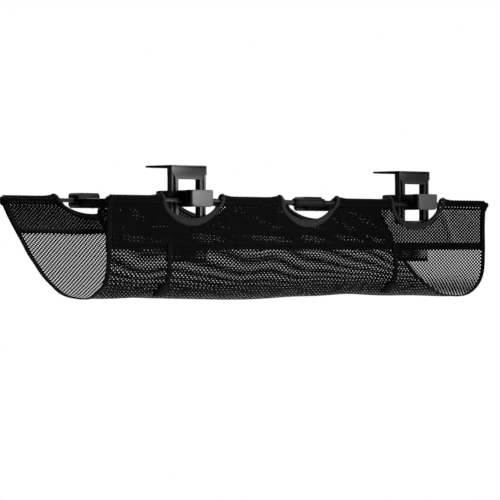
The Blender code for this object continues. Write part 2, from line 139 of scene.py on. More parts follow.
def mesh_piece(name, points, faces, material, uvs=None):
    """A smooth-shaded mesh object from points in metres; uvs are one pair per point."""
    mesh = bpy.data.meshes.new(name)
    mesh.from_pydata([tuple(p) for p in points], [], [tuple(f) for f in faces])
    mesh.materials.append(material)
    if uvs is not None:
        corners = np.zeros(len(mesh.loops), int)
        mesh.loops.foreach_get("vertex_index", corners)
        layer = mesh.uv_layers.new(name="cloth")
        layer.data.foreach_set("uv", np.asarray(uvs, np.float32)[corners].ravel())
    mesh.shade_smooth()
    return in_scene(name, mesh)


def place(piece, body, slot, *nodes):
    """Fix a finished piece to its CAD body, in place of the CAD nodes it stands for; its slot argument is not
    used.
    """
    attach(piece, body)
    if nodes:
        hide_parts(*nodes)
    return piece


print("colour check:", [round(c, 3) for c in linear("#808080")])

# %% [markdown]
# ## Camera, floor and light
#
# The tray is seen from the front left, level with the bag. A long lens from over three metres away keeps
# the rods nearly parallel. A softbox and a spotlight ahead and to the right light the front faces, two more
# softboxes light the top and the back, and the room is dim, so that black plastic stays black. The
# background behind the open ends is white.

# %% Camera
CAMERA_AT = Vector((-2.3032, -2.3912, -0.0656))
LOOKS_ALONG = Vector((0.681, 0.7323, 0.0))
LENS, SENSOR = 209.0, 36.0  # mm
camera_data = bpy.data.cameras.new("camera")
camera_data.lens = LENS
camera_data.sensor_width = SENSOR
camera = in_scene("camera", camera_data)
camera.location = CAMERA_AT
camera.rotation_euler = LOOKS_ALONG.to_track_quat("-Z", "Y").to_euler()
bpy.context.scene.camera = camera
print("lens", camera_data.lens, "mm at", tuple(round(c, 2) for c in CAMERA_AT))

# %% Floor and light
FLOOR_Z, FLOOR_SIDE = -0.62, 2.0  # metres
FLOOR_PAINT = "#EDEDEB"
FLOOR_GLOW = 0.75  # what the lens sees on top of the lit floor
ROOM_LIGHT = 0.04  # of the white background's own strength
WHITE = (1.0, 1.0, 1.0, 1.0)


def floor():
    """A pale floor; what it sends to the lens is topped up, so that it isn't grey in the dim room."""
    material, tree, shader = new_material("pale_floor_paint", FLOOR_PAINT, 0.7)
    speckle = add(tree, "TexNoise", {"Scale": 60.0, "Detail": 3.0})
    bump = add(tree, "Bump", {"Strength": 0.05, "Distance": MM}, {"Height": speckle.outputs["Fac"]})
    tree.links.new(bump.outputs["Normal"], shader.inputs["Normal"])
    path = add(tree, "LightPath")
    glow = add(tree, "Math", {"operation": "MULTIPLY", 1: FLOOR_GLOW}, {0: path.outputs["Is Camera Ray"]})
    shader.inputs["Emission Color"].default_value = linear(FLOOR_PAINT)
    tree.links.new(glow.outputs[0], shader.inputs["Emission Strength"])
    corners = [(FLOOR_SIDE * x, FLOOR_SIDE * y, FLOOR_Z) for x, y in ((-1, -1), (1, -1), (1, 1), (-1, 1))]
    mesh_piece("floor", corners, [(0, 1, 2, 3)], material)


def lamp(name, kind, at, aim, power, **settings):
    """A light of a power in watts, at one place and pointed at another, in metres."""
    light = bpy.data.lights.new(name, kind)
    light.energy = power
    for key, value in settings.items():
        setattr(light, key, value)
    made = in_scene(name, light)
    made.location = at
    made.rotation_euler = (Vector(aim) - Vector(at)).to_track_quat("-Z", "Y").to_euler()


def softbox(name, at, aim, power, width, height):
    """A glowing panel."""
    lamp(name, "AREA", at, aim, power, shape="RECTANGLE", size=width, size_y=height)


def room():
    """A white background to look at, which lights the tray only dimly."""
    world = bpy.data.worlds.new("room")
    bpy.context.scene.world = world
    world.use_nodes = True
    tree = world.node_tree
    tree.nodes.clear()
    seen = add(tree, "Background", {"Color": WHITE, "Strength": 1.0})
    lights = add(tree, "Background", {"Color": WHITE, "Strength": ROOM_LIGHT})
    path = add(tree, "LightPath")
    both = add(tree, "MixShader", links={0: path.outputs["Is Camera Ray"], 1: lights.outputs[0],
                                         2: seen.outputs[0]})
    add(tree, "OutputWorld", links={"Surface": both.outputs[0]})


floor()
room()
LEFT_CLAMP = (CLAMPS["left"] * MM, -0.02, 0.0)
BAG = (0.0, 0.08, 0.0)
softbox("front_softbox", (0.62, -1.15, 0.06), LEFT_CLAMP, 3.0, 0.6, 0.5)
lamp("key_spotlight", "SPOT", (0.35, -1.0, 0.06), LEFT_CLAMP, 17.0, spot_size=math.radians(40.0),
     spot_blend=1.0, shadow_soft_size=0.08)
softbox("top_softbox", (0.45, 0.2, 1.4), BAG, 7.0, 1.0, 0.8)
softbox("rear_softbox", (0.5, 1.7, 0.8), BAG, 22.0, 1.2, 0.9)
bpy.context.scene.view_settings.view_transform = "Standard"
print("floor at", FLOOR_Z, "m")

# %% [markdown]
# ## Moulded plastics and rubber
#
# The clamps are injection moulded. The frame with its legs is glass-filled nylon: stiff, satin, with a
# slightly cloudy grey-black skin. The jaw, holder, caps and couplers are black ABS with a fine spark-eroded
# grain, and the release button is the same plastic in grey. That grain is a tenth of a millimetre, too fine
# to show, so it is drawn at a third of a millimetre. A second, larger noise in the colour and gloss gives
# the faint cloudy flow marks, a few millimetres wide.

# %% Plastics and rubber
CLOUD = 6.0  # mm, flow marks
GRAIN = 0.35  # mm, the spark-eroded grain as drawn
PLASTIC_IOR = 1.53
GLOSS_DRIFT = 0.06  # how far roughness drifts each way


def moulded(name, colour, shade, roughness, grain=GRAIN, depth=0.02):
    """A moulded plastic: a grain in its skin, with colour and gloss that drift a little."""
    material, tree, shader = new_material(name, colour, roughness)
    where = {"Vector": add(tree, "TexCoord").outputs["Object"]}
    drift = add(tree, "TexNoise", {"Scale": 1 / (CLOUD * MM), "Detail": 4.0}, where)
    tint = add(tree, "Mix", {"data_type": "RGBA", 6: linear(colour), 7: linear(shade)},
               {0: drift.outputs["Fac"]})
    tree.links.new(tint.outputs[2], shader.inputs["Base Color"])
    gloss = add(tree, "MapRange", {"To Min": roughness - GLOSS_DRIFT, "To Max": roughness + GLOSS_DRIFT},
                {"Value": drift.outputs["Fac"]})
    tree.links.new(gloss.outputs["Result"], shader.inputs["Roughness"])
    skin = add(tree, "TexNoise", {"Scale": 1 / (grain * MM), "Detail": 2.0}, where)
    bump = add(tree, "Bump", {"Strength": 0.5, "Distance": depth * MM}, {"Height": skin.outputs["Fac"]})
    tree.links.new(bump.outputs["Normal"], shader.inputs["Normal"])
    shader.inputs["IOR"].default_value = PLASTIC_IOR
    return material


def darker_above(material, height, colour):
    """Turn a plastic darker above a height in mm."""
    tree = material.node_tree
    shader = tree.nodes["Principled BSDF"]
    below = shader.inputs["Base Color"].links[0].from_socket
    spot = add(tree, "SeparateXYZ", links={0: add(tree, "TexCoord").outputs["Object"]})
    above = add(tree, "Math", {"operation": "GREATER_THAN", 1: height * MM}, {0: spot.outputs["Z"]})
    tint = add(tree, "Mix", {"data_type": "RGBA", 7: linear(colour)}, {0: above.outputs[0], 6: below})
    tree.links.new(tint.outputs[2], shader.inputs["Base Color"])


# glass-filled nylon, moulded: a satin charcoal that catches the softbox, with a blacker top plate, from
# just under the pad
NYLON = moulded("glass_filled_nylon", "#38383A", "#424244", 0.40)
BLACK_FROM = extent("left_upper_pad")[0][2] - 0.6
darker_above(NYLON, BLACK_FROM, "#060607")
# ABS, spark-eroded mould: deep black, low gloss
BLACK_ABS = moulded("black_abs", "#0A0A0B", "#101011", 0.55)
BLACK_ABS.node_tree.nodes["Principled BSDF"].inputs["Specular IOR Level"].default_value = 0.3
# ABS, the same mould finish in grey: the one light piece on each clamp
GREY_ABS = moulded("grey_abs", "#78787A", "#7F7F81", 0.42, depth=0.015)
# EPDM rubber, moulded: matt, dusty black
RUBBER = moulded("epdm_rubber", "#0B0B0B", "#151514", 0.82, grain=0.8, depth=0.05)
print("plastics:", NYLON.name, BLACK_ABS.name, GREY_ABS.name, RUBBER.name)

# %% [markdown]
# ## Metals
#
# The rods are steel tube with a black semi-gloss powder coat, whose skin has the slight orange peel that
# such a coat gets as it flows in the oven. The screws, pawls and springs are zinc plated: a pale grey metal
# with soft streaks. The arms are bent steel, powder coated like the rods but flatter.

# %% Metals
def powder_coat(name, colour, roughness, peel=1.6):
    """Baked powder paint on steel: no bare metal shows, so it isn't metallic; its skin has orange peel."""
    material, tree, shader = new_material(name, colour, roughness)
    where = {"Vector": add(tree, "TexCoord").outputs["Object"]}
    ripple = add(tree, "TexNoise", {"Scale": 1 / (peel * MM), "Detail": 1.0}, where)
    bump = add(tree, "Bump", {"Strength": 0.35, "Distance": 0.03 * MM}, {"Height": ripple.outputs["Fac"]})
    tree.links.new(bump.outputs["Normal"], shader.inputs["Normal"])
    shader.inputs["Coat Weight"].default_value = 0.3
    shader.inputs["Coat Roughness"].default_value = roughness * 0.6
    return material


def zinc_plate(name):
    """Bright zinc on steel: metallic, pale, with a drift in gloss."""
    material, tree, shader = new_material(name, "#B9BABB", 0.32, metallic=1.0)
    where = {"Vector": add(tree, "TexCoord").outputs["Object"]}
    streak = add(tree, "TexNoise", {"Scale": 1 / (0.7 * MM), "Detail": 5.0}, where)
    gloss = add(tree, "MapRange", {"To Min": 0.24, "To Max": 0.42}, {"Value": streak.outputs["Fac"]})
    tree.links.new(gloss.outputs["Result"], shader.inputs["Roughness"])
    return material


# steel tube, powder coated: a soft line of light runs along it
ROD_PAINT = powder_coat("rod_powder_coat", "#1B1B1C", 0.30)
# bent steel, powder coated: nearly matt
ARM_PAINT = powder_coat("arm_powder_coat", "#0E0E0F", 0.48, peel=0.9)
# steel, zinc plated: screws, pawls and springs
ZINC = zinc_plate("zinc_plated_steel")
print("metals:", ROD_PAINT.name, ARM_PAINT.name, ZINC.name)

# %% [markdown]
# ## Textiles
#
# Three textiles make the bag. The mesh is warp-knitted polyester: matt black strands with a dull sheen. The
# bindings are a smooth woven polyester tape, dyed charcoal round the half-moons and black elsewhere, and the
# load straps are a coarser black webbing. Their texture coordinates are millimetres along and across each
# piece, so the weave follows every bend.

# %% Textiles
def dull_yarn(shader, sheen_roughness):
    """Yarn hardly mirrors anything; its fibre ends give it a faint sheen."""
    shader.inputs["Specular IOR Level"].default_value = 0.12
    shader.inputs["Sheen Weight"].default_value = 0.05
    shader.inputs["Sheen Roughness"].default_value = sheen_roughness


def band_scale(spacing):
    """The wave texture's Scale for bands this many mm apart: it fits 20 / (2 pi) bands in a unit."""
    return 2 * math.pi / (20 * spacing)


def woven(name, colour, shade, thread, rib, roughness=0.72, depth=0.12):
    """A woven tape: weft ribs across it and warp threads along it, both spacings in mm."""
    material, tree, shader = new_material(name, colour, roughness)
    where = {"Vector": add(tree, "UVMap", {"uv_map": "cloth"}).outputs["UV"]}
    wave = add(tree, "TexWave", {"Scale": band_scale(rib), "bands_direction": "X"}, where)
    warp = add(tree, "TexWave", {"Scale": band_scale(thread), "bands_direction": "Y"}, where)
    cross = add(tree, "Math", {"operation": "MULTIPLY"}, {0: wave.outputs["Fac"], 1: warp.outputs["Fac"]})
    fuzz = add(tree, "TexNoise", {"Scale": 0.8, "Detail": 4.0}, where)
    mixed = add(tree, "Math", {"operation": "MULTIPLY_ADD", 1: 0.4},
                {0: fuzz.outputs["Fac"], 2: cross.outputs[0]})
    tint = add(tree, "Mix", {"data_type": "RGBA", 6: linear(shade), 7: linear(colour)},
               {0: mixed.outputs[0]})
    tree.links.new(tint.outputs[2], shader.inputs["Base Color"])
    bump = add(tree, "Bump", {"Strength": 0.6, "Distance": depth * MM}, {"Height": cross.outputs[0]})
    tree.links.new(bump.outputs["Normal"], shader.inputs["Normal"])
    dull_yarn(shader, 0.4)
    return material


LOOP = 0.9  # mm, from one loop of yarn to the next


def knitted(name, colour, shade):
    """Strands of warp-knitted yarn: small slanted loops, matt, with a little sheen on the fibre."""
    material, tree, shader = new_material(name, colour, 0.78)
    where = {"Vector": add(tree, "UVMap", {"uv_map": "cloth"}).outputs["UV"]}
    turned = add(tree, "Mapping", {"Rotation": (0.0, 0.0, math.radians(35))}, where)
    loops = add(tree, "TexWave", {"Scale": band_scale(LOOP), "bands_direction": "X",
                                  "Distortion": 1.5, "Detail Scale": 1.0}, {"Vector": turned.outputs[0]})
    tint = add(tree, "Mix", {"data_type": "RGBA", 6: linear(shade), 7: linear(colour)},
               {0: loops.outputs["Fac"]})
    tree.links.new(tint.outputs[2], shader.inputs["Base Color"])
    bump = add(tree, "Bump", {"Strength": 0.7, "Distance": 0.2 * MM}, {"Height": loops.outputs["Fac"]})
    tree.links.new(bump.outputs["Normal"], shader.inputs["Normal"])
    dull_yarn(shader, 0.35)
    return material


# polyester mesh, warp knitted: dull black strands
MESH = knitted("knitted_polyester", "#0D0D0E", "#050506")
# polyester tape, plain woven and dyed charcoal: smooth, lighter than all the cloth round it
CHARCOAL_TAPE = woven("charcoal_binding", "#47474A", "#37373A", 0.45, 0.6)
# the same tape dyed black, on the open ends and inside the hems
BLACK_TAPE = woven("black_binding", "#0B0B0C", "#050506", 0.5, 0.8)
# polypropylene webbing, ribbed: coarse black straps
WEBBING = woven("black_webbing", "#0D0D0E", "#050506", 0.9, 1.3, depth=0.25)
# bonded polyester thread: a fine dark line with a dull shine
THREAD = woven("polyester_thread", "#2C2C2E", "#1C1C1E", 0.12, 0.25, roughness=0.5, depth=0.03)
print("textiles:", MESH.name, CHARCOAL_TAPE.name, BLACK_TAPE.name, WEBBING.name, THREAD.name)

# %% [markdown]
# ## The curve that the cloth hangs in
#
# All the cloth pieces lie on one surface, so one function places them all. Seen from the end, the sheet
# starts inside the bag below the front rod, goes up, folds over the rod in a loose tunnel, drops down the
# front, sweeps under and climbs the long slope to the rear rod, where it folds in again. A point on it is
# named by two lengths in millimetres: u along the desk, and v along the cloth from the fold on the front
# rod. A third, off, lifts a point from the cloth. A cloth solver could drop a sheet over the rods, but the
# bag would leave the space that the CAD model keeps for it, so the curve goes through a few set points.

# %% Section of the sheet
SECTION = [(-0.8, -8), (-1.4, -30), (-2.4, -55), (-1.8, -75), (3.5, -91), (14, -101.5), (28, -107),
           (45, -108.4), (65, -106), (87, -97.5), (108, -83), (131, -62.5), (149, -42)]
SLOPE_FOOT = (166, -21)  # the cloth's last point before the rear tunnel
LAYER_GAP = 1.6  # from one layer of a doubled hem to the other
TUNNEL_END = 8.0  # the tunnels close this far below a rod's axis
TUNNEL = [(0.8, -8), (2.9, -4.5), (3.7, 0.5), (2.5, 4.6), (0.0, 6.2)]
FRONT_HEM = 46.0  # hem below the tunnel's closing line
REAR_HEM = 43.0
STEP = 1.0  # from point to point along the curve


def run_along(u, v):
    """The length along a path to each of its points."""
    return np.concatenate([[0.0], np.cumsum(np.hypot(np.diff(u), np.diff(v)))])


def smooth_line(points, step):
    """Points about one step apart on a smooth curve through the given ones."""
    p = np.array([points[0], *points, points[-1]], float)
    out = [p[1]]
    for k in range(len(points) - 1):
        p0, p1, p2, p3 = p[k:k + 4]
        parts = max(1, round(np.linalg.norm(p2 - p1) / step))
        for t in np.arange(1, parts + 1) / parts:
            out.append(0.5 * (2 * p1 + (p2 - p0) * t + (2 * p0 - 5 * p1 + 4 * p2 - p3) * t * t
                              + (3 * p1 - p0 - 3 * p2 + p3) * t ** 3))
    return np.array(out)


def normals(line):
    """Unit normals on the left of a line of points."""
    along = np.gradient(line, axis=0)
    along /= np.linalg.norm(along, axis=1)[:, None]
    return np.stack([along[:, 1], -along[:, 0]], 1)


def tunnel(axis, out, up):
    """The loop round a rod, from its outer side over the top to its inner side."""
    half = smooth_line(TUNNEL, STEP)
    loop = np.concatenate([half, half[-2::-1] * (-1, 1)])
    return np.array(axis) + loop[:, :1] * np.array(out) + loop[:, 1:] * np.array(up)


def whole_section():
    """The sheet's line in (back, up) from the front rod, with the places of its two folds."""
    rear_axis = np.array((ROD_SPAN, REAR_Z - ROD_Z))
    down = np.array(SLOPE_FOOT) - rear_axis
    down /= np.linalg.norm(down)
    out = np.array((-down[1], down[0]))
    last = rear_axis + TUNNEL_END * down + LAYER_GAP / 2 * out
    outer = smooth_line(SECTION + [tuple(last + 18 * down), tuple(last)], STEP)
    inner = outer - LAYER_GAP * normals(outer)
    front_count, rear_count = round(FRONT_HEM / STEP), round(REAR_HEM / STEP)
    front = tunnel((0.0, 0.0), (-1.0, 0.0), (0.0, 1.0))[::-1]
    rear = tunnel(rear_axis, out, -down)
    parts = [inner[front_count:0:-1], front[:-1], outer, rear[1:], inner[-2:-rear_count - 1:-1]]
    line = np.concatenate(parts)
    run = run_along(*line.T)
    front_fold = run[len(parts[0]) + len(front) // 2]
    rear_fold = run[len(parts[0]) + len(front) - 1 + len(outer) + len(rear) // 2 - 1]
    return line, run - front_fold, rear_fold - front_fold


SHEET_LINE, SHEET_RUN, REAR_FOLD = whole_section()
SHEET_NORMAL = normals(SHEET_LINE)
FOLD_TO_AXIS = run_along(*smooth_line(TUNNEL, STEP).T)[-1] - TUNNEL_END
print("sheet", round(SHEET_RUN[-1] - SHEET_RUN[0]), "mm along its curve; folds", round(REAR_FOLD), "mm apart")

# %% [markdown]
# ## Sag, pull and folds
#
# Real mesh is never a clean sweep. Its open ends draw in, the bag hangs a few millimetres skew, its stiff
# bindings push the fold up at the corners of each half-moon, and long soft folds run down the panels and
# along the bottom. Each is a small shift of the same surface, so tapes, stitches and straps follow it.

# %% Place points on the cloth
CUT_XS = {"left": CLAMPS["left"], "middle": 0.0, "right": CLAMPS["right"]}
CUT_HALF = 43.0  # half-moon, half width inside its tape
CUT_DEEP = {"left": 28.3, "middle": 28.8, "right": 31.5}  # depth from the fold, as each was sewn
PULL_LEFT, PULL_RIGHT = 3.5, 9.5  # how far each open end draws in
SKEW = 3.0  # how far the bag's bottom hangs to the left
PEAK = 1.8  # how far a stiff corner lifts the fold
CORNER = 9.0  # how far the cloth's own corners are rounded off
FLARE = 14.0  # how far the front hem's loose end stands into the bag
CUT_ENDS = [(x, way) for x in CUT_XS.values() for way in (-1, 1)]


def ease(value, start, end):
    """From 0 to 1, smoothly, as value goes from start to end."""
    t = np.clip((value - start) / (end - start), 0.0, 1.0)
    return t * t * (3 - 2 * t)


def folds(u, depth):
    """How far the cloth stands out: lengths of folds divide, their heights multiply, all in mm."""
    loose = ease(depth, 22, 75) * ease(REAR_FOLD - depth, 25, 80)
    low = ease(depth, 70, 110) * ease(REAR_FOLD - depth, 120, 190)
    hanging = (0.9 * np.sin(u / 21.0 + 0.9 * np.sin(depth / 47.0))
               + 0.6 * np.sin(u / 12.7 + depth / 61.0 + 1.3) + 0.5 * np.sin(u / 37.0 - depth / 40.0 + 0.4))
    lying = 1.5 * np.sin(u / 60.0 + 2.9) + 0.4 * np.sin(u / 17.3 + depth / 30.0)
    creases = (0.35 * np.sin(depth / 6.5 + 1.5 * np.sin(u / 45.0)) * ease(depth, 60, 90)
               * ease(REAR_FOLD - depth, 60, 120))
    pulls = 0.0
    for x, way in CUT_ENDS:
        line = (u - x) * way - CUT_HALF - 0.55 * (depth - 10.0)
        pulls = pulls + 0.8 * np.exp(-(line / 6.0) ** 2) * ease(depth, 8, 26) * ease(95 - depth, 0, 60)
    return loose * (1 - 0.8 * low) * hanging + low * lying + creases + pulls


def fold_lift(u):
    """How far the fold stands up over a rod: peaks at the half-moons' corners, a dip between them."""
    lift = -0.4 * np.ones_like(u)
    for x, way in CUT_ENDS:
        lift = lift + PEAK * np.exp(-((u - x - way * (CUT_HALF + 3.0)) / 9.0) ** 2)
    return lift - 2.4 * ease(np.abs(u), HALF - CORNER, HALF)


def on_sheet(u, v, off=0.0):
    """Points on the cloth in metres, from lengths along the desk and the sheet and a lift off it, in mm."""
    u, v, off = np.broadcast_arrays(np.asarray(u, float), np.asarray(v, float), np.asarray(off, float))
    back, up = (np.interp(v, SHEET_RUN, SHEET_LINE[:, k]) for k in (0, 1))
    out_back, out_up = (np.interp(v, SHEET_RUN, SHEET_NORMAL[:, k]) for k in (0, 1))
    depth = np.where(v < 0, -v, np.where(v > REAR_FOLD, 2 * REAR_FOLD - v, v))
    face = np.where((v < 0) | (v > REAR_FOLD), -1.0, 1.0)
    flare = FLARE * (v < 0) * ease(-u, HALF - 55, HALF) * ease(depth, 3, 22) * ease(48 - depth, 0, 24)
    lift = off + face * folds(u, depth) + flare
    near_fold = np.exp(-(np.minimum(np.abs(v), np.abs(v - REAR_FOLD)) / 7.5) ** 2)
    share = np.clip(depth / REAR_FOLD, 0.0, 1.0)
    bow = np.where(u < 0, PULL_LEFT, PULL_RIGHT) * np.sin(math.pi * share) ** 0.25
    cut_in = 0.35 * CORNER * near_fold * ease(np.abs(u), HALF - CORNER, HALF)
    x = u - np.sign(u) * (bow * np.abs(u / HALF) ** 3 + cut_in) - SKEW * np.sin(math.pi * share)
    y = ROD_Y + back + lift * out_back
    z = ROD_Z + up + lift * out_up + near_fold * fold_lift(u)
    return np.stack([x, y, z], -1) * MM


print("bottom of the bag at", round(on_sheet(0.0, 150.0)[2] / MM, 1), "mm")

# %% [markdown]
# ## The knitted mesh
#
# Warp-knitted mesh has staggered rows of round holes, here 5.5 mm apart along a row and 4 mm from a row to
# the next but one. An alpha texture would be lighter, but it blurs up close and its edges don't catch
# light, so the holes are cut for real: each hole is a six-sided ring of points, each strand is a quad
# between two rings, and each knot between three strands is a triangle. Holes inside a half-moon are left
# out, and the bindings hide the ragged edge as they do in life.

# %% Knitted mesh
PITCH_U, ROW = 5.5, 2.0
HOLE_TIP, HOLE_SHOULDER, HOLE_TOP = 0.95, 0.52, 0.84
HOLE = [(HOLE_TIP, 0.0), (HOLE_SHOULDER, HOLE_TOP), (-HOLE_SHOULDER, HOLE_TOP), (-HOLE_TIP, 0.0),
        (-HOLE_SHOULDER, -HOLE_TOP), (HOLE_SHOULDER, -HOLE_TOP)]
FOLD_CLOSES = 7.0  # the knit is squeezed shut this near a fold
CORNER_V, CORNER_RUN = 112.0, 13.0  # and pulled narrow round the bag's lower front corner
EDGE_TAPE = 6.5


def reaches(u, v, grow):
    """For each half-moon made larger by grow: its middle, and places' reach from there, 1 at its edge."""
    for spot, x in CUT_XS.items():
        for fold in (0.0, REAR_FOLD):
            yield x, fold, np.hypot((u - x) / (CUT_HALF + grow), (v - fold) / (CUT_DEEP[spot] + grow))


def in_half_moon(u, v, grow):
    """True inside any half-moon."""
    return np.any([reach < 1 for x, fold, reach in reaches(u, v, grow)], axis=0)


def pushed_out(u, v, grow):
    """Move the places inside a half-moon straight out to its edge."""
    for x, fold, reach in reaches(u, v, grow):
        scale = 1 / np.clip(reach, 0.5, 1.0)
        u, v = x + (u - x) * scale, fold + (v - fold) * scale
    return u, v


def knit(name, low, high, keep, off=0.0, shift=(0.0, 0.0)):
    """A net of staggered holes between two (u, v) corners, where keep says."""
    rows = int((high[1] - low[1]) / ROW)
    columns = round((high[0] - low[0]) / PITCH_U)
    pitch = (high[0] - low[0]) / columns
    j, i = np.meshgrid(np.arange(rows), np.arange(columns), indexing="ij")
    u = low[0] + shift[0] + pitch * (i + 0.25 + 0.5 * (j % 2))
    v = low[1] + shift[1] + ROW * (j + 0.5)
    kept = keep(u, v)
    u, v = pushed_out(u, v, 1.2)
    index = np.where(kept, np.cumsum(kept).reshape(kept.shape) - 1, -1)
    ring = np.array(HOLE)
    to_fold = np.minimum(np.abs(v), np.abs(v - REAR_FOLD))[kept]
    narrow = 0.5 * np.exp(-((v[kept] - CORNER_V) / CORNER_RUN) ** 2)
    opening = ((1 - 0.85 * ease(FOLD_CLOSES - to_fold, 0.0, 3.0)) * (1 - narrow))[:, None]
    points_u = (u[kept][:, None] + opening * ring[:, 0]).ravel()
    points_v = (v[kept][:, None] + opening * ring[:, 1]).ravel()

    def neighbour(rows_up, to_right):
        """Each hole's neighbour by row and side: 1 right, -1 left, 0 straight up."""
        step = {0: 0 * j, 1: j % 2, -1: j % 2 - 1}[to_right]
        jj, ii = j + rows_up, i + step
        found = (jj < rows) & (ii >= 0) & (ii < columns)
        out = np.full(kept.shape, -1)
        out[found] = index[jj[found], ii[found]]
        return out

    up, right, left = neighbour(2, 0), neighbour(1, 1), neighbour(1, -1)

    def faces(corners, *needed):
        """Faces between rings; corners pairs each vertex with the ring it is on."""
        good = np.all([n >= 0 for n in (index, *needed)], axis=0)
        return np.stack([ring_of[good] * len(HOLE) + k for ring_of, k in corners], 1)

    strands = [faces([(index, 1), (up, 5), (up, 4), (index, 2)], up),
               faces([(index, 0), (right, 4), (right, 3), (index, 1)], right),
               faces([(index, 2), (left, 0), (left, 5), (index, 3)], left)]
    knots = [faces([(index, 1), (right, 3), (up, 5)], right, up),
             faces([(index, 2), (up, 4), (left, 0)], left, up)]
    polygons = [face for group in strands + knots for face in group.tolist()]
    return mesh_piece(name, on_sheet(points_u, points_v, off), polygons, MESH,
                      np.stack([points_u, points_v], 1))


KNIT_HALF = HALF - 1.0
sling = knit("mesh_sling_cloth", (-KNIT_HALF, SHEET_RUN[0] + 0.5), (KNIT_HALF, SHEET_RUN[-1] - 0.5),
             lambda u, v: ~in_half_moon(u, v, -1.6) & (np.abs(u) < KNIT_HALF - 1.0))
place(sling, "tray", "mesh", "mesh_sling")
print("holes:", len(sling.data.vertices) // len(HOLE), "faces:", len(sling.data.polygons))

# %% [markdown]
# ## Swept tapes
#
# A binding is a narrow tape folded in half over a cut edge and sewn through. Its section is a flat U with
# a rounded fold, drawn once and swept along the edge. The sweep is worked out in the cloth's own lengths,
# so a binding lies on the sheet whatever the sheet does.

# %% Sweep helper
def tube_faces(count, sides, closed=False):
    """Faces of a tube through a count of rings; its ends are capped unless the path closes."""
    faces = []
    for a in range(count if closed else count - 1):
        b = (a + 1) % count
        for k in range(sides):
            m = (k + 1) % sides
            faces.append((a * sides + k, a * sides + m, b * sides + m, b * sides + k))
    if not closed:
        faces += [tuple(range(sides))[::-1], tuple(range((count - 1) * sides, count * sides))]
    return faces


def sweep(name, rings, uvs, material, closed=False):
    """A tube through rings of points."""
    faces = tube_faces(*rings.shape[:2], closed)
    piece = mesh_piece(name, rings.reshape(-1, 3), faces, material, uvs.reshape(-1, 2))
    tidy = bmesh.new()
    tidy.from_mesh(piece.data)
    bmesh.ops.recalc_face_normals(tidy, faces=tidy.faces)
    tidy.to_mesh(piece.data)
    tidy.free()
    return piece


def folded(width, thick):
    """A folded tape's section: (distance in from the cut edge, lift off the cloth)."""
    return np.array([(width, 0.55 * thick), (width - 0.5, 0.9 * thick), (0.55 * width, thick),
                     (0.9, thick), (0.1, 0.75 * thick), (-0.25, 0.0), (0.1, -0.75 * thick),
                     (0.9, -thick), (0.55 * width, -thick), (width - 0.5, -0.9 * thick),
                     (width, -0.55 * thick)])


def binding(name, edge_u, edge_v, in_u, in_v, width, thick, material, closed=False):
    """A folded tape along an edge: its points, its inward direction and its width at each."""
    path = np.broadcast_arrays(edge_u, edge_v, in_u, in_v, width)
    rings, uvs = [], []
    for u, v, du, dv, wide, run in zip(*path, run_along(*path[:2])):
        inset, lift = folded(wide, thick).T
        rings.append(on_sheet(u + du * inset, v + dv * inset, lift))
        uvs.append(np.stack([np.full(len(inset), run), run_along(inset, lift)], 1))
    return sweep(name, np.array(rings), np.array(uvs), material, closed)


FINE, HEAVY = (2.2, 3.0), (2.4, 3.4)  # a stitch's visible length, and from one stitch to the next
THREAD_R = 0.32  # thicker than real thread, to show


def stitches(name, u, v, sewn, lifts):
    """A row of lockstitches along a path on the cloth, seen at each lift as short bulging threads."""
    length, pitch = sewn
    u, v = np.broadcast_arrays(u, v)
    run = run_along(u, v)
    starts = np.arange(pitch / 2, run[-1] - length, pitch)
    points, faces, uvs = [], [], []
    spots = np.linspace(0.0, 1.0, 5)
    bulge = np.sin(math.pi * spots)
    angles = (np.arange(4) + 0.5) * math.pi / 2
    one_stitch = tube_faces(5, 4)
    for lift in lifts:
        side = math.copysign(1.0, lift)
        for start in starts:
            at = start + length * spots
            su, sv = np.interp(at, run, u), np.interp(at, run, v)
            du, dv = su[-1] - su[0], sv[-1] - sv[0]
            size = math.hypot(du, dv)
            across_u, across_v = -dv / size, du / size
            radius = THREAD_R * (0.45 + 0.55 * bulge)
            wide = radius[:, None] * np.cos(angles)
            high = lift + side * (radius[:, None] * np.sin(angles) + 0.5 * THREAD_R * bulge[:, None] - 0.2)
            ring = on_sheet(su[:, None] + across_u * wide, sv[:, None] + across_v * wide, high)
            faces += [tuple(len(points) + corner for corner in face) for face in one_stitch]
            points += ring.reshape(-1, 3).tolist()
            uvs += np.stack([np.repeat(at, 4), np.tile(angles * THREAD_R, 5)], 1).tolist()
    return mesh_piece(name, points, faces, THREAD, uvs)


print("a folded tape's section has", len(folded(4.5, 1.0)), "points")

# %% [markdown]
# ## Half-moon bindings
#
# Each half-moon is an oval hole in the flat sheet, bound all round before the hem is folded through its
# middle, so that both layers show a bound half-moon and the stiff tape turns over the fold at its corners.
# The charcoal tape looks wider at the bottom, where it lies flat. Two rows of stitching hold it.

# %% Half-moon bindings
TAPE_SIDE, TAPE_DEEP = 4.4, 7.8  # the tape's width at the corners and at the bottom
TAPE_THICK = 0.78
OVAL_STEPS = 120
THREAD_ROWS = (0.24, 0.82)  # as shares of the tape's width

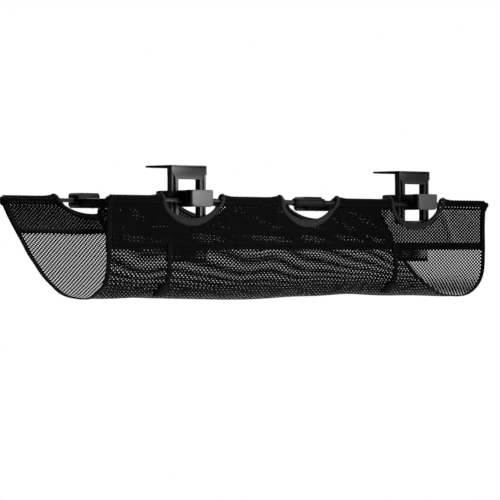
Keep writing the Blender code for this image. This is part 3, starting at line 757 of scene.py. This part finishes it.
half_moons = []
for row, fold in (("front", 0.0), ("rear", REAR_FOLD)):
    for spot, x in CUT_XS.items():
        deep = CUT_DEEP[spot]
        angle = np.linspace(0.0, 2 * math.pi, OVAL_STEPS, endpoint=False)
        edge_u, edge_v = x + CUT_HALF * np.cos(angle), fold + deep * np.sin(angle)
        away_u, away_v = np.cos(angle) / CUT_HALF, np.sin(angle) / deep
        size = np.hypot(away_u, away_v)
        width = TAPE_SIDE + (TAPE_DEEP - TAPE_SIDE) * np.sin(angle) ** 4
        tape = binding(f"{row}_half_moon_{spot}", edge_u, edge_v, away_u / size, away_v / size, width,
                       TAPE_THICK, CHARCOAL_TAPE, closed=True)
        place(tape, "tray", "tape", f"{row}_cutout_tape_{spot}")
        seams = []
        for share in THREAD_ROWS:
            inset = share * width
            su, sv = edge_u + away_u / size * inset, edge_v + away_v / size * inset
            seam = stitches(f"{row}_half_moon_thread_{spot}_{len(seams)}", np.append(su, su[0]),
                            np.append(sv, sv[0]), FINE, (TAPE_THICK, -TAPE_THICK))
            seams.append(place(seam, "tray", "tape"))
        half_moons += [tape, *seams]
print("half-moon pieces:", len(half_moons))

# %% [markdown]
# ## Bound open ends
#
# The two open ends are bound with black tape along the whole cut edge, facings included, so that the end
# of each hem shows two bound layers lying together.

# %% Edge bindings
def path_along(start, end, step):
    """Lengths from start to end, about one step apart."""
    return np.linspace(start, end, max(2, round(abs(end - start) / step) + 1))


EDGE_THICK = 0.72
edges = []
for side, way in (("left", -1), ("right", 1)):
    v = path_along(SHEET_RUN[0] + 0.5, SHEET_RUN[-1] - 0.5, 1.6)
    tape = binding(f"{side}_end_binding", way * HALF, v, -way, 0.0, EDGE_TAPE, EDGE_THICK, BLACK_TAPE)
    place(tape, "tray", "mesh", f"{side}_edge_tape")
    seam = stitches(f"{side}_end_thread", way * (HALF - EDGE_TAPE + 1.0), v, FINE, (0.66, -0.66))
    edges += [tape, place(seam, "tray", "mesh")]
print("end bindings:", [e.name for e in edges])

# %% [markdown]
# ## Seam tapes, patches and straps
#
# A flat tape inside the bag closes each doubled hem, with a row of stitches along both its edges that goes
# through to the outside. Below the clamps, where the load is highest, a doubled patch of the same mesh lies
# inside the sheet. A narrow webbing strap runs down the outside beside it and under the bag, and ends in a
# folded, box-stitched tab.

# %% Seam tapes
SEAM_TAPE = 8.5
TAPE_CORNER = 0.25  # how far a tape's worn edge bulges


def flat_strip(name, u, v, wide_u, wide_v, half_width, low, high, material):
    """A flat tape along a path on the cloth: a rounded slab between two lifts."""
    u, v = np.broadcast_arrays(u, v)
    side, centre = half_width, (low + high) / 2
    across, lifts = np.array([(-side, low), (side, low), (side + TAPE_CORNER, centre), (side, high),
                              (0.0, high + 0.08), (-side, high), (-side - TAPE_CORNER, centre)]).T
    rings, uvs = [], []
    for mid_u, mid_v, run in zip(u, v, run_along(u, v)):
        rings.append(on_sheet(mid_u + wide_u * across, mid_v + wide_v * across, lifts))
        uvs.append(np.stack([np.full(len(across), run), across + lifts], 1))
    return sweep(name, np.array(rings), np.array(uvs), material)


def hem_line(row, depth):
    """v on the facing, inside the bag, at a distance along the cloth below a rod's axis."""
    if row == "front":
        return -(FOLD_TO_AXIS + depth)
    return REAR_FOLD + FOLD_TO_AXIS + depth


trims = []
for row, depth in (("front", TUNNEL_END + FRONT_HEM), ("rear", TUNNEL_END + REAR_HEM)):
    u = path_along(-HALF + EDGE_TAPE + 0.8, HALF - EDGE_TAPE - 0.8, 4.0)
    centre = hem_line(row, depth - SEAM_TAPE / 2)
    tape = flat_strip(f"{row}_hem_tape", u, centre, 0.0, 1.0, SEAM_TAPE / 2, 0.35, 1.1, BLACK_TAPE)
    trims.append(place(tape, "tray", "mesh", f"{row}_seam_tape"))
    for edge in (-1, 1):
        seam_v = centre + edge * (SEAM_TAPE / 2 - 1.1)
        outside = -seam_v if row == "front" else 2 * REAR_FOLD - seam_v
        inner = stitches(f"{row}_hem_thread_in_{edge + 1}", u, seam_v, HEAVY, (1.15,))
        outer = stitches(f"{row}_hem_thread_out_{edge + 1}", u, outside, HEAVY, (0.15,))
        trims += [place(inner, "tray", "mesh"), place(outer, "tray", "mesh")]
print("hem trims:", len(trims))

# %% Patches
PATCH_LEFT, PATCH_RIGHT = 36.0, 22.0
PATCH_TOP = FOLD_TO_AXIS + TUNNEL_END + FRONT_HEM - 3.0
PATCH_FOOT = PATCH_TOP + 16.0
for side, x in CLAMPS.items():
    start, end, top, foot = x - PATCH_LEFT, x + PATCH_RIGHT, PATCH_TOP, PATCH_FOOT
    patch = knit(f"{side}_patch_cloth", (start, top), (end, foot), lambda u, v: np.ones(u.shape, bool),
                 off=-0.75, shift=(1.4, 0.8))
    trims.append(place(patch, "tray", "mesh", f"{side}_patch"))
    hem_u = path_along(start, end, 4.0)
    hem = flat_strip(f"{side}_patch_hem", hem_u, foot - 1.4, 0.0, 1.0, 2.0, -1.5, -0.8, BLACK_TAPE)
    seam = stitches(f"{side}_patch_thread", [start, start, end, end], [top, foot, foot, top], HEAVY,
                    (0.2, -1.6))
    trims += [place(hem, "tray", "mesh"), place(seam, "tray", "mesh")]
print("patches done:", len(trims))

# %% Load straps
STRAP_HALF = 3.2
STRAP_FROM_CLAMP = {"left": -34.0, "right": -40.0}
STRAP_LEAN = {"left": 3.0, "right": 9.0}  # how far its foot is sewn to the right of its head
STRAP_TOP = 38.0 + TUNNEL_END
STRAP_RUN = 47.0
TAB_LOW, TAB_HIGH, TAB_RUN = -9.5, 5.5, 18.5  # its sides from the strap's centre, and its length
BOX_HALF, BOX_INSET = 5.4, 1.6  # the box of stitches on a tab
for side, x in CLAMPS.items():
    start = FOLD_TO_AXIS + STRAP_TOP
    v = path_along(start, start + STRAP_RUN, 2.0)
    centre = x + STRAP_FROM_CLAMP[side] + STRAP_LEAN[side] * ((v - start) / STRAP_RUN) ** 2
    strap = flat_strip(f"{side}_strap_webbing", centre, v, 1.0, 0.0, STRAP_HALF, 0.3, 1.3, WEBBING)
    place(strap, "tray", "webbing", f"{side}_load_strap")
    rows = [place(stitches(f"{side}_strap_thread_{way + 1}", centre + way * 2.2, v, HEAVY, (1.35,)),
                  "tray", "webbing") for way in (-1, 1)]
    middle_u = centre[-1] + (TAB_LOW + TAB_HIGH) / 2
    tab_v = path_along(v[-1] + 0.5, v[-1] + 0.5 + TAB_RUN, 1.5)
    tab = flat_strip(f"{side}_strap_end", middle_u, tab_v, 1.0, 0.0, (TAB_HIGH - TAB_LOW) / 2, 0.3, 2.0,
                     WEBBING)
    place(tab, "tray", "webbing", f"{side}_strap_tab")
    low_v, high_v = tab_v[0] + BOX_INSET, tab_v[-1] - BOX_INSET
    box_u = middle_u + BOX_HALF * np.array([-1, 1, 1, -1, -1, 1, 1, -1])
    box_v = [low_v, low_v, high_v, high_v, low_v, high_v, low_v, high_v]
    box = place(stitches(f"{side}_tab_thread", box_u, box_v, (2.0, 2.8), (2.1,)), "tray", "webbing")
    trims += [strap, tab, box, *rows]
print("straps and tabs in webbing:", len(trims))

# %% [markdown]
# ## Rods, couplers and caps
#
# The rods are turned shapes, so each is a profile of (place along the rod, radius) spun about the rod's
# line. Each rod is two halves that meet inside a coupler, which has a raised, ribbed collar at each end to
# grip while it is pushed on. The caps are domed. Forty sides keep them all round in close views.

# %% Turned pieces
TURNED_SIDES = 40


def spun(name, profile, line, material):
    """A piece turned about a rod's line from (x, radius) pairs in mm."""
    angle = np.arange(TURNED_SIDES) * 2 * math.pi / TURNED_SIDES
    y, z = line
    x, r = np.array(profile).T[:, :, None]
    x = x + 0 * angle
    rings = np.stack([x, y + r * np.cos(angle), z + r * np.sin(angle)], -1) * MM
    uvs = np.stack([x, r * angle], -1)
    piece = sweep(name, rings, uvs, material)
    piece.data.set_sharp_from_angle(angle=math.radians(32))
    return piece


ROD_END = extent("front_rod_right")[1][0]
CAP_LOW, CAP_HIGH = (corner[0] for corner in extent("front_cap_right"))
CAP_R = half_height("front_cap_right")
COUPLER_HALF = extent("front_coupler")[1][0]
COUPLER_R = half_height("front_coupler")
BORE = 2.85  # radius inside the caps and couplers
for row, line in (("front", (ROD_Y, ROD_Z)), ("rear", (REAR_Y, REAR_Z))):
    for side, way in (("left", -1), ("right", 1)):
        bar = [(way * 0.3, ROD_R - 0.4), (way * 0.7, ROD_R), (way * (ROD_END - 0.4), ROD_R),
               (way * ROD_END, ROD_R - 0.4)]
        place(spun(f"{row}_rod_{side}_coated", bar, line, ROD_PAINT), "tray", "rod",
                          f"{row}_rod_{side}")
        dome = [(CAP_LOW, CAP_R - 0.3), (CAP_LOW + 0.3, CAP_R), (CAP_HIGH - 1.6, CAP_R),
                (CAP_HIGH - 0.8, CAP_R - 0.35), (CAP_HIGH - 0.25, 2.2), (CAP_HIGH, 1.2), (CAP_HIGH, 0.02)]
        hollow = [(ROD_END + 0.4, 0.02), (ROD_END + 0.4, BORE), (CAP_LOW, BORE), (CAP_LOW, CAP_R - 0.3)]
        cap = [(way * px, r) for px, r in dome + hollow]
        place(spun(f"{row}_cap_{side}_domed", cap, line, BLACK_ABS), "tray", "moulding", f"{row}_cap_{side}")
    grip = COUPLER_HALF - 4.0
    collar = [(grip - 0.4, COUPLER_R - 0.3), (grip - 0.1, COUPLER_R)]
    for k in range(3):
        collar += [(grip + 0.2 + k, COUPLER_R), (grip + 0.4 + k, COUPLER_R - 0.3),
                   (grip + 0.7 + k, COUPLER_R - 0.3), (grip + 0.9 + k, COUPLER_R)]
    collar += [(COUPLER_HALF - 0.4, COUPLER_R - 0.1), (COUPLER_HALF, COUPLER_R - 0.7)]
    outside = [(-px, r) for px, r in reversed(collar)] + collar
    sleeve = outside + [(COUPLER_HALF, BORE), (-COUPLER_HALF, BORE), outside[0]]
    place(spun(f"{row}_coupler_ribbed", sleeve, line, BLACK_ABS), "tray", "moulding", f"{row}_coupler")

# %% [markdown]
# ## Moulded clamp pieces
#
# A mould can't make a sharp edge, and a round edge is what catches the light on black plastic. The CAD
# pieces already have the right shape, so each is copied, its flat faces are made whole again, and a bevel
# rounds every edge. Building them from nothing would risk a shape that doesn't fit its neighbours.

# %% Rounded copies of CAD pieces
def round_edges(piece, radius, segments, angle):
    """Bevel every edge sharper than an angle in degrees, by a radius in mm."""
    bevel = piece.modifiers.new("moulded_edges", "BEVEL")
    bevel.width = radius * MM
    bevel.segments = segments
    bevel.limit_method = "ANGLE"
    bevel.angle_limit = math.radians(angle)
    return bevel


def rounded_copy(node, name, radius, material):
    """A CAD piece with its edges rounded: faces are merged back to flats, then bevelled."""
    flat = bmesh.new()
    flat.from_mesh(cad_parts[node].data)
    bmesh.ops.remove_doubles(flat, verts=flat.verts, dist=0.002 * MM)
    bmesh.ops.dissolve_limit(flat, angle_limit=math.radians(0.6), verts=flat.verts, edges=flat.edges)
    mesh = bpy.data.meshes.new(name)
    flat.to_mesh(mesh)
    flat.free()
    mesh.materials.clear()
    mesh.materials.append(material)
    for layer in list(mesh.uv_layers):
        mesh.uv_layers.remove(layer)
    mesh.shade_smooth()
    piece = in_scene(name, mesh)
    round_edges(piece, radius, segments=3, angle=28.0).harden_normals = True
    return piece


CLAMP_PIECES = {  # each one's body, edge radius, finish and slot
    "clamp_frame": ("frame", 0.55, NYLON, "clamp_frame"),
    "jaw": ("carriage", 0.45, BLACK_ABS, "moulding"),
    "rear_holder": ("carriage", 0.5, BLACK_ABS, "moulding"),
    "release_button": ("button", 0.5, GREY_ABS, "grey_button"),
    "arm": ("carriage", 0.35, ARM_PAINT, "arm"),
}
for side in CLAMPS:
    for node, (body, radius, material, slot) in CLAMP_PIECES.items():
        piece = rounded_copy(f"{side}_{node}", f"{side}_{node}_moulded", radius, material)
        place(piece, f"{side}_{body}", slot, f"{side}_{node}")
print("rounded:", ", ".join(CLAMP_PIECES))

# %% [markdown]
# ## Rubber pads
#
# Each jaw grips the desktop through a rubber pad with fine ribs, which are cut into the mounting face and
# don't stand above it.

# %% Ribbed pads
RIB_PITCH = 2.6
RIB_DEEP = 0.45


def ribbed_pad(name, node, face_up):
    """A rubber pad with ribs across it, cut into the face that touches the desktop."""
    low, high = extent(node)
    face, back = (high[2], low[2]) if face_up else (low[2], high[2])
    into = -1.0 if face_up else 1.0
    count = int((high[1] - low[1] - 2.0) / RIB_PITCH)
    start = (low[1] + high[1] - count * RIB_PITCH) / 2
    outline = [(low[1], back), (low[1], face)]
    for k in range(count):
        y = start + k * RIB_PITCH
        outline += [(y + 0.6, face), (y + 0.8, face + into * RIB_DEEP), (y + 1.6, face + into * RIB_DEEP),
                    (y + 1.8, face)]
    outline += [(high[1], face), (high[1], back)]
    rings = np.array([[(x, y, z) for y, z in outline] for x in (low[0], high[0])]) * MM
    uvs = np.array([[(x, y) for y, z in outline] for x in (low[0], high[0])])
    piece = sweep(name, rings, uvs, RUBBER)
    round_edges(piece, 0.12, segments=2, angle=30.0)
    piece.data.set_sharp_from_angle(angle=math.radians(30))
    return piece


for side in CLAMPS:
    for node, body, face_up in (("upper_pad", "frame", False), ("lower_pad", "carriage", True)):
        pad = ribbed_pad(f"{side}_{node}_ribbed", f"{side}_{node}", face_up)
        place(pad, f"{side}_{body}", "rubber", f"{side}_{node}")
print("pads ribbed")

# %% [markdown]
# ## Screws, pawls and springs
#
# The four screws of each arm are seen from below, so each gets a domed head with a cross recess: a
# star-shaped ring, sunk and narrowed, in the same loft as the head. The pawls are inside the jaw and keep
# their CAD shapes, with a zinc finish. The spring between them is swept again here as a coil of round
# wire that fills its CAD box.

# %% Screws
STAR_POINTS = 32


def screw(name, node):
    """A pan-head screw, head down, with a cross recess."""
    low, high = extent(node)
    x, y = (low[:2] + high[:2]) / 2
    angle = np.arange(STAR_POINTS) * 2 * math.pi / STAR_POINTS
    round_ring = np.ones(STAR_POINTS)
    star = 0.32 + 0.68 * np.abs(np.cos(2 * angle)) ** 3
    base = low[2]
    levels = [(0.12, star, 1.1), (0.75, star, 1.1), (1.55, star, 0.02), (2.25, round_ring, 0.0),
              (2.7, round_ring, 0.45), (2.8, round_ring, 0.9), (2.8, round_ring, 1.9)]
    tip = high[2] - base
    levels += [(r, round_ring, z) for r, z in ((1.5, 1.9), (1.5, tip - 1.2), (0.5, tip))]
    rings = np.array([np.stack([x + r * shape * np.cos(angle), y + r * shape * np.sin(angle),
                                np.full(STAR_POINTS, base + z)], 1) for r, shape, z in levels]) * MM
    uvs = np.array([np.stack([r * angle, np.full(STAR_POINTS, z)], 1) for r, shape, z in levels])
    piece = sweep(name, rings, uvs, ZINC)
    piece.data.set_sharp_from_angle(angle=math.radians(35))
    return piece


for side in CLAMPS:
    for number in range(1, 5):
        node = f"{side}_arm_screw_{number}"
        place(screw(node + "_cross", node), f"{side}_carriage", "steel", node)
    for node in ("pawl_inner", "pawl_outer"):
        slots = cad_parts[f"{side}_{node}"].data.materials
        for k in range(len(slots)):
            slots[k] = ZINC
print("screws and pawls in", ZINC.name)

# %% Pawl springs
WIRE = 0.3  # radius of the spring's wire
COIL_TURNS, TURN_STEPS, WIRE_SIDES = 4, 24, 8


def coil_spring(name, node):
    """A coil of round wire along the desk, filling its CAD box."""
    low, high = extent(node)
    y, z = (low[1:] + high[1:]) / 2
    radius = half_height(node) - WIRE
    turn = np.linspace(0, 2 * math.pi * COIL_TURNS, TURN_STEPS * COIL_TURNS)
    along = np.linspace(low[0] + WIRE, high[0] - WIRE, len(turn))
    radial = np.stack([0 * turn, np.cos(turn), np.sin(turn)], 1)
    line = np.stack([along, np.full_like(turn, y), np.full_like(turn, z)], 1) + radius * radial
    around = np.arange(WIRE_SIDES) * 2 * math.pi / WIRE_SIDES
    section = np.cos(around)[:, None, None] * radial + np.sin(around)[:, None, None] * np.array([1.0, 0, 0])
    rings = (line + WIRE * section).transpose(1, 0, 2) * MM
    uvs = np.array([np.stack([WIRE * around, np.full(WIRE_SIDES, radius * a)], 1) for a in turn])
    return sweep(name, rings, uvs, ZINC)


for side in CLAMPS:
    node = f"{side}_pawl_spring"
    coil = coil_spring(node + "_coil", node)
    place(coil, f"{side}_carriage", "steel", node)
    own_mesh(coil)
